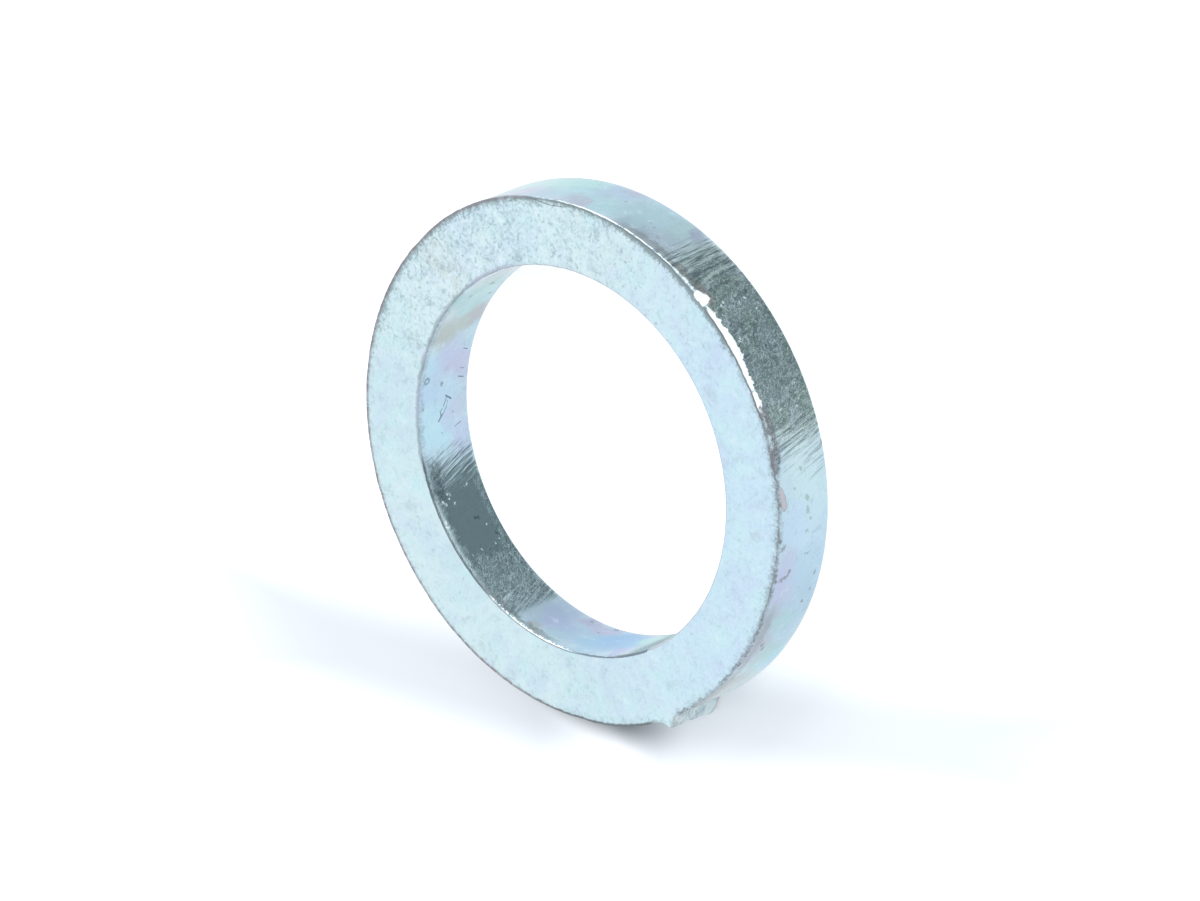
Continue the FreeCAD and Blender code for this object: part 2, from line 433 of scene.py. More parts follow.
BORE_TINTS = (
    # Sea green
    (127.0, 3.0, 2.0, (168, 194, 200), 0.85), (135.0, 2.8, 2.2, (158, 202, 204), 0.85),
    (141.0, 3.6, 1.8, (160, 206, 210), 0.85), (142.0, 1.8, 1.4, (186, 226, 230), 0.60),
    (147.0, 1.4, 1.6, (172, 212, 214), 0.85), (149.0, 4.4, 1.4, (198, 214, 220), 0.75),
    # Beige grey
    (151.0, 1.1, 1.5, (182, 188, 194), 0.90), (154.5, 3.7, 1.6, (180, 192, 192), 0.90),
    (154.0, 2.3, 1.2, (182, 198, 196), 0.85), (158.6, 1.0, 0.9, (190, 214, 226), 0.70),
    # Lavender and pale blue
    (161.0, 4.5, 0.9, (204, 230, 238), 0.70), (166.0, 4.1, 1.1, (186, 222, 240), 0.80),
    (165.0, 2.3, 1.8, (192, 204, 232), 0.92), (169.0, 1.1, 1.5, (194, 202, 228), 0.90),
    (175.0, 3.9, 1.6, (188, 216, 242), 0.80),
    # Pale blue and pale cyan
    (178.0, 1.9, 1.4, (190, 218, 240), 0.75), (182.0, 0.9, 1.1, (196, 210, 230), 0.80),
    (187.0, 3.4, 2.0, (192, 230, 244), 0.85), (184.5, 2.0, 0.8, (194, 208, 236), 0.60),
    (191.0, 1.0, 1.3, (196, 212, 238), 0.75),
    # Grey blue
    (251.0, 1.6, 2.0, (160, 180, 206), 0.85), (251.0, 3.6, 1.3, (166, 190, 206), 0.80),
    (257.5, 2.6, 1.5, (170, 186, 218), 0.90), (255.0, 4.6, 0.9, (168, 180, 186), 0.80),
    (262.0, 0.7, 1.1, (176, 184, 210), 0.85), (261.0, 4.0, 1.2, (176, 206, 218), 0.80),
    # Sky blue
    (266.0, 2.9, 1.9, (172, 202, 224), 0.85), (269.0, 1.1, 1.3, (182, 190, 220), 0.85),
    (274.0, 3.2, 1.9, (162, 204, 232), 0.85), (280.0, 1.9, 2.2, (148, 194, 236), 0.90),
    (286.0, 3.7, 1.0, (178, 192, 238), 0.85), (285.5, 2.0, 1.4, (144, 200, 238), 0.85),
    # Sea green again, and painted shade at the end
    (289.5, 1.2, 1.5, (172, 228, 228), 0.90), (292.5, 3.1, 1.3, (166, 222, 228), 0.85),
    (298.0, 3.4, 2.2, (130, 150, 160), 0.85),
)

# Small marks on the walls: angle, height above the back face and reach.
RIM_MARKS = (
    (-5.0, 4.80, 0.19), (-4.9, 4.58, 0.17), (-12.4, 4.62, 0.14), (-12.5, 4.35, 0.18),
    (-12.3, 4.05, 0.17), (-11.7, 3.82, 0.15), (-11.0, 3.72, 0.19), (-8.1, 2.25, 0.10),
    (-8.3, 1.95, 0.10), (-20.9, 1.30, 0.14), (-18.2, 0.86, 0.12), (-14.0, 0.80, 0.13),
    (-30.5, 3.85, 0.22), (-32.0, 3.50, 0.20), (73.2, 3.65, 0.13), (73.4, 2.80, 0.12),
    (72.0, 3.10, 0.12), (69.0, 3.70, 0.14), (82.6, 2.10, 0.15), (14.6, 0.10, 0.17),
)
RIM_GREEN_MARKS = (
    (4.6, 2.32, 0.17), (4.0, 2.22, 0.17), (2.0, 2.25, 0.19), (1.2, 2.22, 0.19),
    (-0.4, 1.92, 0.14), (-2.9, 2.32, 0.16), (7.4, 3.50, 0.15), (10.9, 2.60, 0.15),
)
# Painted glints on the rim, where tiny facets catch the light
RIM_GLINTS = (
    (49.0, 3.55, 0.13), (48.4, 3.85, 0.11), (47.7, 2.20, 0.11), (48.3, 1.50, 0.09),
    (40.2, 4.22, 0.09), (40.9, 4.00, 0.08), (42.9, 1.88, 0.08), (24.6, 1.30, 0.11),
    (23.4, 1.62, 0.11), (22.9, 1.80, 0.08), (28.2, 1.15, 0.09), (27.5, 2.00, 0.08),
    (29.9, 1.15, 0.08), (24.0, 3.20, 0.10), (45.2, 1.05, 0.08),
)
BORE_MARKS = (
    (134.4, 2.15, 0.22), (135.4, 1.85, 0.24), (136.0, 1.55, 0.16), (139.6, 3.30, 0.16),
    (138.6, 3.55, 0.12), (142.0, 0.90, 0.12), (173.4, 2.78, 0.17), (183.4, 1.52, 0.12),
    (179.2, 4.62, 0.12), (188.5, 2.85, 0.10), (215.2, 2.00, 0.14), (215.4, 1.75, 0.14),
    (221.4, 0.85, 0.15), (221.8, 0.70, 0.12), (267.8, 1.45, 0.13), (270.6, 0.28, 0.17),
    (262.0, 0.50, 0.12), (293.8, 2.20, 0.30), (295.6, 2.90, 0.32), (292.4, 1.75, 0.20),
)
# Painted glints in the bore
BORE_GLINTS = (
    (205.6, 3.75, 0.10), (206.3, 3.50, 0.14), (207.0, 3.70, 0.10), (208.9, 3.32, 0.10),
    (207.6, 4.35, 0.14), (208.3, 4.20, 0.13), (217.9, 1.42, 0.09), (223.9, 1.52, 0.09),
    (224.3, 3.00, 0.09), (224.6, 4.00, 0.09), (213.0, 4.80, 0.14), (214.2, 4.82, 0.14),
    (205.4, 1.80, 0.07), (205.1, 1.60, 0.07), (223.2, 0.95, 0.12),
)
RIM_STAIN = ((8.6, 4.84, 0.10), (7.8, 4.80, 0.17), (6.8, 4.78, 0.23), (5.7, 4.72, 0.28), (4.6, 4.66, 0.30))
# Thin scratches: angle and height, or on the face angle and radius, at both ends, and half the width.
BORE_SCRATCHES = (
    (177.6, 2.26, 179.1, 1.72, 0.060), (178.3, 2.18, 180.6, 2.50, 0.028), (179.2, 2.06, 181.0, 2.18, 0.024),
    (181.0, 2.18, 182.9, 2.58, 0.028), (181.2, 2.62, 181.9, 2.86, 0.028), (181.9, 2.86, 183.2, 2.80, 0.034),
    (182.9, 2.64, 184.6, 3.08, 0.060), (163.8, 0.95, 164.6, 0.52, 0.035), (173.0, 1.02, 173.7, 0.50, 0.045),
    (170.4, 0.95, 170.9, 0.55, 0.024), (187.9, 1.50, 187.1, 0.80, 0.026),
)
FACE_SCRATCHES = (
    (103.0, 19.02, 101.0, 18.95, 0.04), (101.0, 18.95, 98.5, 18.68, 0.04), (98.5, 18.68, 95.5, 18.52, 0.04),
    (95.5, 18.52, 92.0, 18.58, 0.035), (92.0, 18.58, 88.5, 18.80, 0.03),
)

# How far the drawn marks lean in the bore, in radians per mm of height,
# what the rim takes off that, and how much less it takes off per mm towards +Y
BORE_LEAN = 0.0250
RIM_LEAN_OFF = 0.0405
RIM_LEAN_CHANGE = 0.00075

# Zones of the walls, as two angles and a soft width: where they mirror the dark screen,
# and where the drawn marks stand out or are rough
RIM_DARK = (17.0, 63.0, 4.0)
BORE_DARK = (199.0, 247.0, 4.0)
RIM_DRAWN = (52.0, 64.0, 4.0)
BORE_DRAWN = (192.5, 204.0, 2.0)
BORE_DRAWN_END = (239.5, 246.5, 2.0)
RIM_ROUGH = (18.0, 58.0, 5.0)
BORE_ROUGH = (226.0, 246.0, 2.0)
BORE_COUNT_START = -60.0        # the bore's angles count from here, so that its visible part is one run

# Zones of the skin: the rim, the front face, where the back face ends and where the bore begins
RIM_SKIN = (0.99, 2.0, 0.008)
FACE_SKIN = (2.0, 2.985, 0.012)
BACK_SKIN = (1.0, 0.985)
BORE_SKIN = (2.975, 2.995)
BORE_EDGE_SKIN = 2.99


def zinc_plating():
    """Blue-white zinc: matt and frosted on the faces, smoother and drawn on the rim and in the bore."""
    material = bpy.data.materials.new("blue_white_zinc")
    material.use_nodes = True
    tree = material.node_tree
    tree.nodes.clear()
    start = Signal(tree)
    skin_map = start.node("UVMap", {"uv_map": "Skin"}, {})
    parts = start.node("SeparateXYZ", {}, {0: skin_map})
    even_skin = Signal(tree, parts.socket.node.outputs[1])
    place = start.node("TexCoord", {}, {}, 3).stretched(1.0 / MM, 1.0 / MM, 1.0 / MM)
    split = start.node("SeparateXYZ", {}, {0: place}).socket.node.outputs
    north = Signal(tree, split[1])
    even_height = Signal(tree, split[2])

    # Noise in several sizes, and places moved about by noise
    cloud = place.grain(0.16, 3.0, 0.55)
    patch = place.grain(0.50, 3.0, 0.6, 0.5)
    blotch = place.grain(1.25, 3.0, 0.6, 0.7)
    speck = place.grain(4.2, 2.0, 0.65, 0.5)
    ragged = place.grain(2.6, 3.0, 0.62) - 0.5
    fringe = place.grain(1.3, 4.0, 0.65, 0.3) - 0.5
    drift = (place.grain(0.55, 2.0, 0.5) - 0.5) * 8.0
    drifting = place.shaken(0.45, 2.6)
    shaken = place.shaken(2.6, 0.50)
    spread = place.stretched(1.0, 1.0, 0.0).vector("NORMALIZE").stretched(RIM_RADIUS, RIM_RADIUS, 0.0)
    spread = spread.vector("ADD", start.node("CombineXYZ", {}, {"Z": even_skin * 2.0}))
    spokes = spread.grain(2.3, 3.0, 0.6, 0.5)
    strokes = place.stretched(1.0, 0.75, 1.0).grain(1.9, 3.0, 0.60, 1.7)
    # The drawn marks lean one way in the bore and the other way on the rim, least at its top
    lean = even_height * (BORE_LEAN - even_skin.rise(2.8, 2.2) * (RIM_LEAN_OFF - north * RIM_LEAN_CHANGE))
    about_axis = {"rotation_type": "Z_AXIS"}
    tilted = start.node("VectorRotate", about_axis, {"Vector": place, "Angle": lean * -1.0})
    streak = tilted.stretched(1.0, 1.0, 0.10).grain(4.2, 2.0, 0.5, 0.25)
    leaning = start.node("VectorRotate", about_axis, {"Vector": place, "Angle": lean * -2.0})
    curl = leaning.stretched(1.0, 1.0, 0.75).grain(2.9, 3.0, 0.66, 2.0)

    # Relief, from plain noise and even zones: Cycles works it out three times, so it waits for nothing else
    even_face = even_skin.between(*FACE_SKIN) + even_skin.rise(*BACK_SKIN)
    even_wall = 1.0 - even_face
    even_rim = even_skin.between(*RIM_SKIN)
    even_bore = even_skin.rise(*BORE_SKIN)
    even_angle = parts * 360.0 + SEAM_ANGLE
    even_bore_angle = even_angle + even_angle.math("LESS_THAN", even_angle, BORE_COUNT_START) * 360.0
    drawn = even_rim * (even_angle.between(*RIM_DRAWN) + even_angle.between(8.0, 21.5, 1.5))
    bore_drawn = even_bore_angle.between(*BORE_DRAWN) + even_bore_angle.between(*BORE_DRAWN_END)
    drawn = drawn + even_bore * bore_drawn
    coarse = even_rim * even_angle.between(*RIM_ROUGH) + even_bore * even_bore_angle.between(*BORE_ROUGH)
    relief = streak * (0.004 + 0.024 * drawn) * even_wall + curl * even_wall * (0.004 + 0.020 * coarse)
    relief = relief + (speck * 0.5 + strokes * 0.5) * even_face * 0.010
    bump = start.node("Bump", {}, {"Strength": 1.0, "Distance": MM, "Height": relief})

    # Walls: the film's tints
    wall_tone = blotch.rise(0.40, 0.62).mixed(rgb(197, 223, 237), rgb(188, 214, 229))
    for tints, radius in ((RIM_TINTS, RIM_RADIUS), (BORE_TINTS, BORE_RADIUS)):
        for middle, level, reach, colour, strength in tints:
            drifting = drifting.onward()
            away = drifting.far_from(wall_point(radius, middle, level))
            tint = away.rise(reach * 1.25, reach * 0.45, strength)
            wall_tone = tint.mixed(wall_tone, rgb(*colour))

    # The three ways to tell a place, which waver a little with the strokes.
    # Noise that waits for the waver makes no mask before its turn.
    waver = curl + strokes + (drifting.far_from(place) + shaken.far_from(place)) * 0.05 - 1.0
    noises = (cloud, patch, blotch, speck, ragged, fringe, drift, spokes, strokes, streak, curl)
    cloud, patch, blotch, speck, ragged, fringe, drift, spokes, strokes, streak, curl = (
        noise + waver * 0.001 for noise in noises)
    angle = parts * 360.0 + waver * 0.4 + SEAM_ANGLE
    skin = even_skin + waver * 0.001
    height = even_height + waver * 0.05
    bore_angle = angle + angle.math("LESS_THAN", angle, BORE_COUNT_START) * 360.0

    face = skin.between(*FACE_SKIN) + skin.rise(*BACK_SKIN)
    wall = 1.0 - face
    rim = skin.between(*RIM_SKIN)
    bore = skin.rise(*BORE_SKIN)
    from_rim = (skin - 2.0) * (RIM_RADIUS - BORE_RADIUS)
    from_bore = (BORE_EDGE_SKIN - skin) * (RIM_RADIUS - BORE_RADIUS)

    # Face: broad tints, soft smudges and frosted strokes
    upper_left = angle.between(80.0, 160.0, 22.0)
    right_side = angle.between(-62.0, 58.0, 22.0)
    tone = cloud.rise(0.42, 0.60).mixed(rgb(215, 236, 241), rgb(208, 232, 240))
    tone = (right_side * 0.80).mixed(tone, rgb(205, 231, 247))
    tone = (patch.rise(0.49, 0.64) * (0.35 + 0.30 * right_side)).mixed(tone, rgb(204, 222, 243))
    tone = (patch.rise(0.46, 0.36) * 0.55).mixed(tone, rgb(205, 238, 243))
    tone = fringe.rise(0.05, 0.18, 0.45).mixed(tone, rgb(186, 208, 217))
    tone = fringe.rise(-0.06, -0.20, 0.50).mixed(tone, rgb(222, 242, 249))

    beige = (angle + drift).between(131.0, 138.5, 3.5) * from_rim.between(0.6, 4.9, 0.6)
    tone = (beige * blotch.rise(0.36, 0.62) * 0.60).mixed(tone, rgb(212, 221, 218))

    frosted = 0.14 + 0.68 * upper_left
    frost = strokes * 0.40 + speck * 0.25 + blotch * 0.35
    tone = (frost.rise(0.48, 0.64) * frosted).mixed(tone, rgb(166, 190, 198))
    tone = (frost.rise(0.51, 0.36) * (0.28 + 0.52 * upper_left)).mixed(tone, rgb(230, 245, 249))
    tone = (strokes.rise(0.58, 0.72) * frosted * 0.35).mixed(tone, rgb(170, 192, 198))

    # Dirt along the outer margin of the face
    near = from_rim.rise(1.2, 0.0)
    weight = angle.between(38.0, 168.0, 8.0, 0.35) + angle.between(36.0, 76.0, 5.0, 0.25)
    weight = weight + angle.between(-30.0, 30.0, 10.0, 0.20) + 0.42
    grimy = speck * 0.35 + strokes * 0.40 + spokes * 0.25
    soil = (grimy + near * near * weight * 0.36).rise(0.53, 0.80) * weight
    tone = soil.least(0.85).mixed(tone, rgb(134, 152, 156))

    wall_tone = fringe.rise(0.06, 0.20, 0.30).mixed(wall_tone, rgb(160, 182, 194))
    wall_tone = fringe.rise(-0.06, -0.20, 0.35).mixed(wall_tone, rgb(216, 236, 246))

    # The zones that mirror the dark screen, and within them the rough ones
    rim_dark = rim * angle.between(*RIM_DARK)
    bore_dark = bore * angle.between(*BORE_DARK)
    wall_tone = (rim_dark * 0.9).mixed(
        wall_tone, patch.rise(0.40, 0.60).mixed(rgb(214, 234, 238), rgb(202, 226, 220)))
    wall_tone = (bore_dark * 0.9).mixed(wall_tone, rgb(196, 222, 226))
    edge = height + ragged * 1.1
    calm_edges = edge.rise(4.20, 4.45, 0.85) + edge.rise(0.95, 0.55)
    rough_bore = (bore_angle + ragged * 16.0).between(*BORE_ROUGH)
    rough_bore = rough_bore + bore_angle.between(204.0, 232.0, 3.0) * calm_edges
    green_patch = bore * (bore_angle + ragged * 6.0).between(195.0, 206.0, 2.5) * edge.rise(3.3, 3.9)
    wall_tone = green_patch.mixed(
        wall_tone, blotch.rise(0.42, 0.58).mixed(rgb(168, 192, 202), rgb(128, 152, 158)))
    rough_bore = rough_bore + green_patch
    rough_zone = rim * angle.between(*RIM_ROUGH) + bore * rough_bore.least(1.0)

    pale_curl = curl.rise(0.52, 0.64)
    dark_curl = curl.rise(0.47, 0.36)
    wall_tone = (dark_curl * (0.07 + 0.48 * rough_zone)).mixed(wall_tone, rgb(116, 136, 142))
    wall_tone = (blotch.rise(0.50, 0.62) * rough_zone * 0.35).mixed(wall_tone, rgb(132, 150, 156))
    far_ends = bore * bore_angle.between(238.0, 248.0, 3.0, 0.40)
    wall_tone = far_ends.mixed(wall_tone, rgb(134, 158, 168))
    spark = speck.rise(0.62, 0.74) * rough_zone
    rim_streaks = angle.between(*RIM_DRAWN) + angle.between(14.5, 21.5, 1.5)
    rim_streaks = rim_streaks + angle.between(8.0, 14.5, 1.5) * height.rise(2.8, 1.4, 0.7)
    drawn_bore = bore_angle.between(*BORE_DRAWN) * edge.rise(4.2, 3.5)
    drawn_bore = drawn_bore + bore_angle.between(*BORE_DRAWN_END, 1.2)
    streaky = rim * rim_streaks + bore * drawn_bore
    wall_tone = (streak.rise(0.48, 0.38) * streaky * 0.55).mixed(wall_tone, rgb(108, 126, 136))
    # Painted shade at the ends of both walls, where they turn away from the viewer: on the rim it goes from
    # cyan low down to grey at the top
    rim_end_shade = rim * angle.rise(-42.0, -58.0) * angle.rise(-84.0, -70.0)
    wall_tone = (rim_end_shade * 0.75).mixed(
        wall_tone, height.rise(2.4, 4.4).mixed(rgb(92, 172, 198), rgb(128, 144, 150)))
    bore_end_shade = bore * bore_angle.rise(288.0, 295.0)
    wall_tone = (bore_end_shade * 0.9).mixed(wall_tone, rgb(90, 150, 160))

    colour = wall.mixed(tone, wall_tone)
    # Painted highlights, shown as pale matt metal: pale curls and sparks in the rough zones and pale drawn
    # streaks
    painted_highlights = pale_curl * rough_zone * 0.17 + spark * 0.30 + streak.rise(0.55, 0.65) * streaky * 0.18

    # Small marks, scratches and painted glints

    def blots(marks, radius):
        total = 0.0
        spot = shaken
        for middle, level, reach in marks:
            spot = spot.onward()
            away = spot.far_from(wall_point(radius, middle, level))
            total = away.rise(reach * 1.35, reach * 0.55) + total
        return total.least(1.0)

    def scratches(lines, point_of):
        total = 0.0
        spot = place
        for from_angle, from_level, to_angle, to_level, half_width in lines:
            spot = spot.onward()
            begin = point_of(from_angle, from_level)
            along = point_of(to_angle, to_level) - begin
            pace = along / along.length_squared
            share = spot.vector("DOT_PRODUCT", pace, output=1) - begin.dot(pace)
            within = share.most(0.0).least(1.0)
            off_begin = spot.far_from(begin)
            off_line = off_begin * off_begin
            off_line = (off_line - within * (share * 2.0 - within) * along.length_squared).most(0.0)
            off_line = off_line.math("SQRT", off_line) + ragged * 0.06
            total = off_line.rise(half_width * 1.5, half_width * 0.5) + total
        return total.least(1.0)

    rim_marks = blots(RIM_MARKS, RIM_RADIUS)
    colour = (rim_marks * 0.72).mixed(colour, rgb(132, 132, 138))
    colour = (blots(RIM_GREEN_MARKS, RIM_RADIUS) * 0.50).mixed(colour, rgb(140, 162, 148))
    bore_marks = blots(BORE_MARKS, BORE_RADIUS)
    colour = (bore_marks * 0.62).mixed(colour, rgb(110, 134, 142))
    ring = place.far_from(wall_point(BORE_RADIUS, 170.6, 4.42)) + ragged * 0.15
    colour = ring.between(0.13, 0.30, 0.08, 0.70).mixed(colour, rgb(112, 140, 146))
    scratched = scratches(BORE_SCRATCHES, lambda turn, level: wall_point(BORE_RADIUS, turn, level))
    on_face = scratches(FACE_SCRATCHES, lambda turn, out: wall_point(out, turn, THICKNESS))
    scratched = scratched + on_face * 0.75
    colour = (scratched * 0.85).mixed(colour, rgb(92, 112, 122))
    # Painted glints on both walls
    glints = blots(RIM_GLINTS, RIM_RADIUS) + blots(BORE_GLINTS, BORE_RADIUS)
    painted_highlights = painted_highlights + glints * (0.30 + speck.rise(0.44, 0.56, 0.45))

    # The edge of the rim: a dark line on the left, partly wear and partly painted reflection, painted
    # highlights at the upper right, brown dirt on the right
    line = from_rim + ragged * 0.20
    left_side = angle.between(103.0, 262.0, 4.0)
    left_line = line.between(-0.08, 0.20, 0.07) * left_side * (0.55 + 0.35 * spokes.rise(0.40, 0.60))
    colour = left_line.mixed(colour, rgb(128, 120, 126))
    # Painted shade along the outer edge at the bottom
    low_side = angle.rise(254.0, 264.0) + angle.between(-90.0, -66.0, 2.0)
    low_edge_shade = line.between(-0.40, 0.16, 0.06) * low_side * 0.9
    colour = low_edge_shade.mixed(colour, rgb(88, 92, 96))
    face_line = line.between(0.03, 0.20, 0.06) * (
        angle.between(24.0, 50.0, 3.0, 0.85) + angle.between(50.0, 104.0, 3.0, 0.55))
    colour = face_line.mixed(colour, rgb(100, 108, 112))
    under_edge = (from_rim + fringe * 1.6).between(-0.75, -0.10, 0.14)
    under_edge = under_edge * angle.between(50.0, 74.0, 4.0, 0.55)
    colour = under_edge.mixed(colour, rgb(112, 112, 110))
    brown_reach = from_rim + fringe * 1.2 - (angle - 20.0).size() * 0.035
    brown = brown_reach.between(-0.60, 0.02, 0.14) * (angle + ragged * 5.0).between(11.5, 28.0, 2.0, 0.85)
    brown = brown * (0.65 + 0.35 * speck.rise(0.40, 0.54))
    colour = brown.mixed(colour, blotch.rise(0.42, 0.58).mixed(rgb(66, 72, 76), rgb(92, 88, 92)))
    grey_edge = (from_rim + fringe * 0.9 + ragged * 0.5).between(-0.04, 0.30, 0.14)
    grey_edge = grey_edge * angle.between(-16.0, 14.0, 4.0, 0.58)
    grey_edge = grey_edge * (0.35 + 0.65 * speck.rise(0.42, 0.56))
    colour = grey_edge.mixed(colour, rgb(128, 138, 144))
    thin_edge = (from_rim + ragged * 0.55).between(0.0, 0.13, 0.08) * angle.between(-60.0, 30.0, 3.0, 0.80)
    thin_edge = thin_edge * (0.35 + 0.65 * blotch.rise(0.40, 0.54))
    colour = thin_edge.mixed(colour, rgb(98, 96, 100))
    smear = (from_rim + fringe * 1.3).between(-0.80, -0.05, 0.20) * angle.between(-60.0, -20.0, 4.0, 0.45)
    colour = smear.mixed(colour, rgb(146, 152, 158))
    on_tab = rim * angle.between(-64.5, -59.6, 0.5)
    colour = (on_tab * 0.85).mixed(
        colour, frost.rise(0.46, 0.56).mixed(rgb(226, 240, 240), rgb(176, 194, 198)))
    tab_edges = rim * (height.rise(0.42, 0.20) + from_rim.rise(-0.30, -0.12))
    tab_edges = tab_edges * angle.between(-64.2, -60.0, 0.5)
    colour = (tab_edges * 0.50).mixed(colour, rgb(120, 124, 126))
    # Painted glints on the tab
    tab_glints = (speck + fringe * 0.5).rise(0.58, 0.68) * on_tab
    stain = blots(RIM_STAIN, RIM_RADIUS)
    colour = (stain * 0.85).mixed(colour, rgb(188, 178, 182))
    stain_edge = stain.between(0.22, 0.62, 0.16)
    colour = (stain_edge * 0.60).mixed(colour, rgb(134, 128, 134))

    # The nick: a darker ring round it here; its painted highlight comes with the edge's highlights below
    nick = shaken.far_from(wall_point(RIM_RADIUS - 0.05, NICK_ANGLE + 0.1, THICKNESS - 0.34))
    nick = nick.least(shaken.far_from(wall_point(RIM_RADIUS - 0.05, NICK_ANGLE + 1.2, THICKNESS - 0.16)))
    nick = nick + ragged * 0.30
    nick_dark_ring = nick.between(0.40, 0.80, 0.12, 0.70) * from_rim.rise(-0.05, -0.35)
    colour = nick_dark_ring.mixed(colour, rgb(96, 90, 94))
    # What loses its metal: dirt, stains and marks, and the painted shade and reflection at the lower edge,
    # the left line and the walls' ends
    dirt_and_shade = left_line * 0.7 + low_edge_shade * 0.9 + face_line * 0.7 + brown * 0.8 + grey_edge * 0.5
    dirt_and_shade = dirt_and_shade + thin_edge * 0.6
    dirt_and_shade = dirt_and_shade + stain * 0.8 + rim_marks * 0.6 + nick_dark_ring * 0.5 + under_edge * 0.3 + smear * 0.5
    dirt_and_shade = dirt_and_shade + on_tab * 0.8 + rim_end_shade * 0.2 + bore_end_shade * 0.5

    # Painted highlights along the rim's front edge: a wide band at the upper right, a thin line higher up,
    # faint and broken bits between, a blob in the nick and glints on the tab
    jag = ragged * 1.4 + fringe * 0.8 + speck - 0.5
    depth = from_rim + jag * 0.40 + angle.between(36.5, 44.5, 2.5, 0.27)
    wide_edge_highlight = depth.rise(-0.12, -0.03) * from_rim.rise(0.06, 0.01)
    wide_edge_highlight = wide_edge_highlight * (angle + ragged * 4.0).between(25.5, 48.5, 1.2)
    thin_line = from_rim + ragged * 0.08
    thin_edge_highlight = thin_line.between(-0.08, 0.01, 0.03) * (angle + ragged * 8.0).between(73.0, 88.0, 1.5)
    thin_edge_highlight = thin_edge_highlight * spokes.rise(0.36, 0.48)
    faint_edge_highlight = thin_line.between(-0.06, 0.0, 0.03) * spokes.rise(0.42, 0.56)
    faint_edge_highlight = faint_edge_highlight * (angle.between(59.0, 74.0, 2.0, 0.75) + angle.between(88.0, 100.0, 2.0, 0.5))
    broken_edge_highlight = (from_rim + ragged * 0.20).between(-0.12, 0.0, 0.05) * angle.between(53.0, 60.0, 1.0)
    broken_edge_highlight = broken_edge_highlight * spokes.rise(0.50, 0.60, 0.5)
    painted_edge_highlight = wide_edge_highlight + thin_edge_highlight + faint_edge_highlight + broken_edge_highlight + nick.rise(0.42, 0.33) + tab_glints * 0.4
    painted_edge_highlight = painted_edge_highlight.least(1.0)
    colour = painted_edge_highlight.mixed(colour, rgb(250, 252, 253))
    painted_highlights = painted_highlights + painted_edge_highlight

    # The edge of the bore
    bore_line = from_bore + ragged * 0.14
    pale_line = bore_line.between(-0.03, 0.12, 0.05) * angle.between(-58.0, 118.0, 6.0, 0.65)
    colour = pale_line.mixed(colour, rgb(188, 178, 184))
    grey_line = (from_bore + fringe * 0.7).between(-0.12, 0.24, 0.12)
    grey_line = grey_line * angle.between(112.0, 197.0, 8.0, 0.72)
    colour = grey_line.mixed(colour, patch.rise(0.42, 0.58).mixed(rgb(134, 146, 152), rgb(156, 160, 178)))
    speckled = (from_bore + fringe * 0.8).between(-0.48, -0.12, 0.12)
    speckled = speckled * angle.between(140.0, 196.0, 6.0, 0.6)
    colour = (speckled * (0.3 + 0.7 * speck.rise(0.44, 0.58))).mixed(colour, rgb(158, 176, 188))
    dark_line = bore_line.between(-0.12, 0.13, 0.05) * bore_angle.between(193.0, 239.0, 3.0, 0.92)
    colour = dark_line.mixed(colour, rgb(70, 80, 86))
    low_line = bore_line.between(0.04, 0.18, 0.04) * bore_angle.between(238.0, 272.0, 3.0, 0.75)
    colour = low_line.mixed(colour, rgb(122, 126, 132))
    blue_line = bore_line.between(-0.12, 0.10, 0.05) * bore_angle.between(271.0, 306.0, 3.0, 0.80)
    end_line = bore_line.between(-0.34, -0.10, 0.06) * bore_angle.between(287.0, 306.0, 3.0, 0.80)
    blue_line = blue_line + end_line
    colour = blue_line.mixed(colour, rgb(84, 94, 108))
    lip_dirt = (from_bore + fringe * 1.4).between(-0.60, -0.10, 0.14)
    lip_dirt = lip_dirt * bore_angle.between(232.0, 262.0, 4.0, 0.60)
    colour = lip_dirt.mixed(colour, blotch.rise(0.44, 0.56).mixed(rgb(112, 126, 122), rgb(140, 150, 156)))
    # A painted highlight along the lower edge of the bore, broken into dashes
    painted_bore_highlight = bore_line.between(-0.15, 0.0, 0.04) * bore_angle.between(239.0, 271.0, 2.0)
    painted_bore_highlight = painted_bore_highlight * spokes.rise(0.46, 0.53)
    colour = painted_bore_highlight.mixed(colour, rgb(250, 250, 252))
    painted_highlights = painted_highlights + painted_bore_highlight
    dirt_and_shade = dirt_and_shade + pale_line * 0.5 + grey_line * 0.5 + dark_line * 0.8 + low_line * 0.5
    dirt_and_shade = dirt_and_shade + blue_line * 0.5 + lip_dirt * 0.2

    # Painted highlights go pale and lose their metal, and so do dirt and painted shade
    painted_highlights = painted_highlights.least(1.0)
    dirt_and_shade = dirt_and_shade.least(1.0)
    colour = (painted_highlights * 0.8).mixed(colour, rgb(236, 243, 246))
    metal = 1.0 - painted_highlights.most(dirt_and_shade) * 0.92
    rough = 0.42 * face + (0.17 + 0.10 * rough_zone + 0.06 * pale_curl) * wall
    rough = rough + dirt_and_shade * 0.25 + painted_highlights * 0.2

    shader = start.node("BsdfPrincipled", {}, {
        "Base Color": colour, "Metallic": metal, "Roughness": rough, "Normal": bump})
    start.node("OutputMaterial", {}, {"Surface": shader})
    return material


washer = bpy.data.objects.new("plated_washer", washer_mesh())
bpy.context.scene.collection.objects.link(washer)
washer.data.materials.append(zinc_plating())
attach(washer, "root")
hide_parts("washer")

# The floor: a plain sheet of white board that the washer lies on.
# It is white to the camera but for a shadow below the washer, partly painted into its glow and colour, and
# metal sees past it to the studio.

